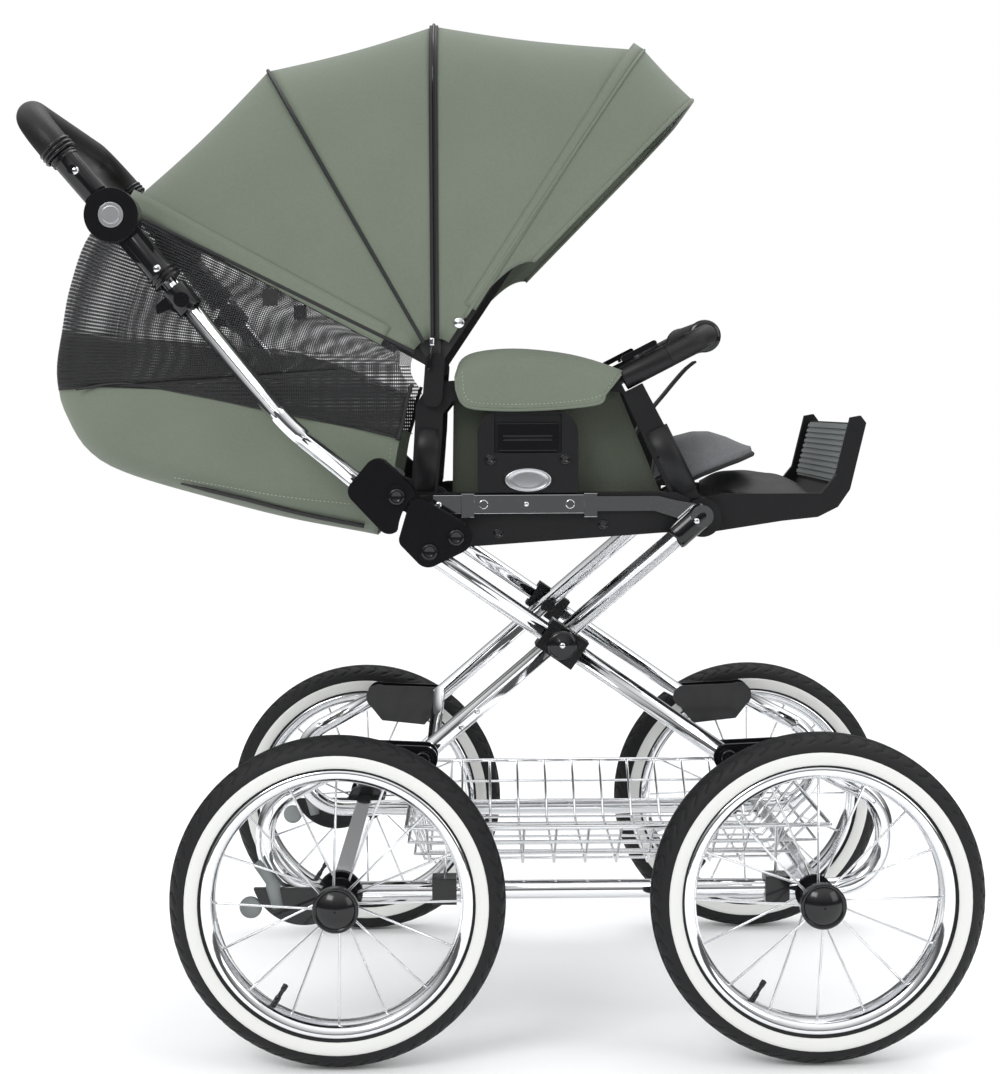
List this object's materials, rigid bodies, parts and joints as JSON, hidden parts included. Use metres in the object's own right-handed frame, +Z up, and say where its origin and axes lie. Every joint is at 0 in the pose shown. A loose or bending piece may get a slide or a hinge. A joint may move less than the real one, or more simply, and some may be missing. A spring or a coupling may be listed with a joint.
{
  "type": "pram",
  "caption": "Retro pram with a chrome folding chassis, wire-spoked wheels, reclined seat unit with folding hood, hinged footrest, bumper bar and angle-adjustable handle.",
  "frame": {"origin": "on the ground, midway between the two axles and on the middle plane", "axes": "+X forward, +Y to the pram's left, +Z up"},
  "size_m": [1.014, 0.61, 1.1059],
  "materials": {
    "tyre": "moulded black rubber with wave tread blocks and a white wall ring",
    "chrome_rim": "mirror chrome",
    "spoke_wire": "polished wire",
    "hub_plastic": "glossy domed cap",
    "chrome_tube": "mirror chrome tube",
    "chrome_wire": "chromed wire",
    "gloss_black": "glossy moulded plastic",
    "matte_black": "fine-grained moulded plastic",
    "silver_button": "satin disc with a turned ring",
    "grip_leather": "black leatherette with a double stitch line",
    "sage_fabric": "sage green twill",
    "black_fabric": "black woven lining",
    "melange_fabric": "grey melange weave",
    "black_leather": "black leatherette",
    "grey_tread": "grey ribbed rubber",
    "bow_steel": "black strip"
  },
  "bodies": {
    "chassis": {"spring_frames": "chrome_tube", "axles": "chrome_tube", "wire_basket": "chrome_wire", "basket_clips": "gloss_black"},
    "front_left_wheel": {"front_left_tyre": "tyre", "front_left_rim": "chrome_rim", "front_left_spokes": "spoke_wire", "front_left_hub": "hub_plastic"},
    "front_right_wheel": {"front_right_tyre": "tyre", "front_right_rim": "chrome_rim", "front_right_spokes": "spoke_wire", "front_right_hub": "hub_plastic"},
    "rear_left_wheel": {"rear_left_tyre": "tyre", "rear_left_rim": "chrome_rim", "rear_left_spokes": "spoke_wire", "rear_left_hub": "hub_plastic"},
    "rear_right_wheel": {"rear_right_tyre": "tyre", "rear_right_rim": "chrome_rim", "rear_right_spokes": "spoke_wire", "rear_right_hub": "hub_plastic"},
    "left_brake": {"brake_lever_left": "gloss_black"},
    "right_brake": {"brake_lever_right": "gloss_black"},
    "front_link": {"front_links": "gloss_black"},
    "rear_link": {"rear_links": "gloss_black"},
    "outer_scissor": {"outer_frame": "chrome_tube", "lower_fold_casings": "gloss_black", "crossing_clamps": "gloss_black"},
    "inner_scissor": {"inner_frame": "chrome_tube"},
    "strips": {"rail_strips": "chrome_tube"},
    "handle": {"handle_tubes": "chrome_tube", "upper_fold_casings": "gloss_black", "handle_sockets": "gloss_black"},
    "triggers": {"fold_triggers": "gloss_black"},
    "left_button": {"adjuster_button_left": "silver_button"},
    "right_button": {"adjuster_button_right": "silver_button"},
    "upper_handle": {"handle_arms": "gloss_black", "handle_grip": "grip_leather"},
    "seat": {"seat_base": "matte_black", "seat_rails": "chrome_tube", "side_plates": "matte_black", "armrest_frame": "matte_black", "armrest_covers": "sage_fabric", "seat_pad": "melange_fabric", "seat_side_panels": "sage_fabric", "edge_bow": "bow_steel", "hood_rear_panel": "sage_fabric", "back_shell": "sage_fabric"},
    "release": {"release_handles": "gloss_black"},
    "bumper": {"bumper_bar": "black_leather"},
    "bumper_catch": {"bumper_buttons": "gloss_black"},
    "footrest": {"footrest_frame": "matte_black", "calf_pad": "black_leather", "footboard_tread": "grey_tread"},
    "backrest": {"backrest_frame": "black_fabric"},
    "rear_hood": {"rear_bow": "bow_steel", "hood_mid_panel": "sage_fabric"},
    "middle_hood": {"middle_bow": "bow_steel", "hood_front_panel": "sage_fabric"},
    "front_hood": {"front_bow": "bow_steel", "hood_visor": "sage_fabric"}
  },
  "joints": [
    {"name": "front_left_spin", "type": "hinge", "parent": "chassis", "child": "front_left_wheel", "pos_m": [0.25, 0.261, 0.175], "axis": [0, 1, 0], "continuous": true},
    {"name": "front_right_spin", "type": "hinge", "parent": "chassis", "child": "front_right_wheel", "pos_m": [0.25, -0.261, 0.175], "axis": [0, 1, 0], "continuous": true},
    {"name": "rear_left_spin", "type": "hinge", "parent": "chassis", "child": "rear_left_wheel", "pos_m": [-0.25, 0.261, 0.175], "axis": [0, 1, 0], "continuous": true},
    {"name": "rear_right_spin", "type": "hinge", "parent": "chassis", "child": "rear_right_wheel", "pos_m": [-0.25, -0.261, 0.175], "axis": [0, 1, 0], "continuous": true},
    {"name": "left_brake_turn", "type": "hinge", "parent": "chassis", "child": "left_brake", "pos_m": [-0.25, 0.226, 0.175], "axis": [0, 1, 0], "range_deg": [0, 25]},
    {"name": "right_brake_turn", "type": "hinge", "parent": "chassis", "child": "right_brake", "pos_m": [-0.25, -0.226, 0.175], "axis": [0, 1, 0], "range_deg": [0, 25]},
    {"name": "chassis_fold", "type": "hinge", "parent": "chassis", "child": "front_link", "pos_m": [0.23, 0, 0.318], "axis": [0, -1, 0], "range_deg": [0, 34.6]},
    {"name": "rear_link_turn", "type": "hinge", "parent": "chassis", "child": "rear_link", "pos_m": [-0.23, 0, 0.318], "axis": [0, 1, 0], "range_deg": [0, 66.79]},
    {"name": "outer_frame_turn", "type": "hinge", "parent": "front_link", "child": "outer_scissor", "pos_m": [0.16, 0, 0.316], "axis": [0, 1, 0], "range_deg": [0, 14.61]},
    {"name": "crossing_turn", "type": "hinge", "parent": "outer_scissor", "child": "inner_scissor", "pos_m": [-0.014, 0, 0.437], "axis": [0, 1, 0], "range_deg": [0, 35.4]},
    {"name": "strip_turn", "type": "hinge", "parent": "inner_scissor", "child": "strips", "pos_m": [0.137, 0, 0.57], "axis": [0, -1, 0], "range_deg": [0, 15.4]},
    {"name": "seat_turn", "type": "hinge", "parent": "outer_scissor", "child": "seat", "pos_m": [-0.125, 0, 0.551], "axis": [0, 1, 0], "range_deg": [0, 20.01]},
    {"name": "handle_fold", "type": "hinge", "parent": "outer_scissor", "child": "handle", "pos_m": [-0.125, 0, 0.551], "axis": [0, 1, 0], "range_deg": [0, 154.01]},
    {"name": "handle_angle", "type": "hinge", "parent": "handle", "child": "upper_handle", "pos_m": [-0.479, 0, 0.887], "axis": [0, 1, 0], "range_deg": [-45, 45]},
    {"name": "trigger_pull", "type": "slide", "parent": "handle", "child": "triggers", "axis": [-0.6309, 0, 0.7759], "range_m": [0, 0.008], "stiffness_N_per_m": 120, "springref_m": -0.004},
    {"name": "left_button_press", "type": "slide", "parent": "handle", "child": "left_button", "axis": [0, -1, 0], "range_m": [0, 0.004], "stiffness_N_per_m": 300, "springref_m": -0.002},
    {"name": "right_button_press", "type": "slide", "parent": "handle", "child": "right_button", "axis": [0, 1, 0], "range_m": [0, 0.004]},
    {"name": "seat_release_pull", "type": "slide", "parent": "seat", "child": "release", "axis": [0, 0, 1], "range_m": [0, 0.006], "stiffness_N_per_m": 200, "springref_m": -0.004},
    {"name": "bumper_bar_pull", "type": "slide", "parent": "seat", "child": "bumper", "axis": [0.891, 0, 0.454], "range_m": [0, 0.04]},
    {"name": "bumper_catch_press", "type": "slide", "parent": "seat", "child": "bumper_catch", "axis": [0.454, 0, -0.891], "range_m": [0, 0.0025], "stiffness_N_per_m": 300, "springref_m": -0.002},
    {"name": "footrest_turn", "type": "hinge", "parent": "seat", "child": "footrest", "pos_m": [0.14, 0, 0.567], "axis": [0, -1, 0], "range_deg": [-75, 0]},
    {"name": "backrest_turn", "type": "hinge", "parent": "seat", "child": "backrest", "pos_m": [-0.15, 0, 0.578], "axis": [0, 1, 0], "range_deg": [0, 50]},
    {"name": "rear_bow_fold", "type": "hinge", "parent": "seat", "child": "rear_hood", "pos_m": [-0.147, 0, 0.735], "axis": [0, -1, 0], "range_deg": [0, 23.4], "deforming": ["hood_rear_panel", "hood_mid_panel"]},
    {"name": "middle_bow_fold", "type": "hinge", "parent": "rear_hood", "child": "middle_hood", "pos_m": [-0.147, 0, 0.735], "axis": [0, -1, 0], "range_deg": [0, 20.61], "deforming": ["hood_front_panel"]},
    {"name": "front_bow_fold", "type": "hinge", "parent": "middle_hood", "child": "front_hood", "pos_m": [-0.147, 0, 0.735], "axis": [0, -1, 0], "range_deg": [0, 24.01], "deforming": ["hood_visor"]}
  ],
  "couplings": [
    {"joint": "right_brake_turn", "follows": "left_brake_turn", "ratio": 1},
    {"joint": "rear_link_turn", "follows": "chassis_fold", "ratio": 1.9304},
    {"joint": "outer_frame_turn", "follows": "chassis_fold", "ratio": 0.42197},
    {"joint": "crossing_turn", "follows": "chassis_fold", "ratio": 1.0228},
    {"joint": "strip_turn", "follows": "chassis_fold", "ratio": 0.4448},
    {"joint": "seat_turn", "follows": "chassis_fold", "ratio": 0.57803},
    {"joint": "handle_fold", "follows": "chassis_fold", "ratio": 4.4509},
    {"joint": "right_button_press", "follows": "left_button_press", "ratio": 1},
    {"joint": "middle_bow_fold", "follows": "rear_bow_fold", "ratio": 0.88034},
    {"joint": "front_bow_fold", "follows": "rear_bow_fold", "ratio": 1.0256}
  ]
}
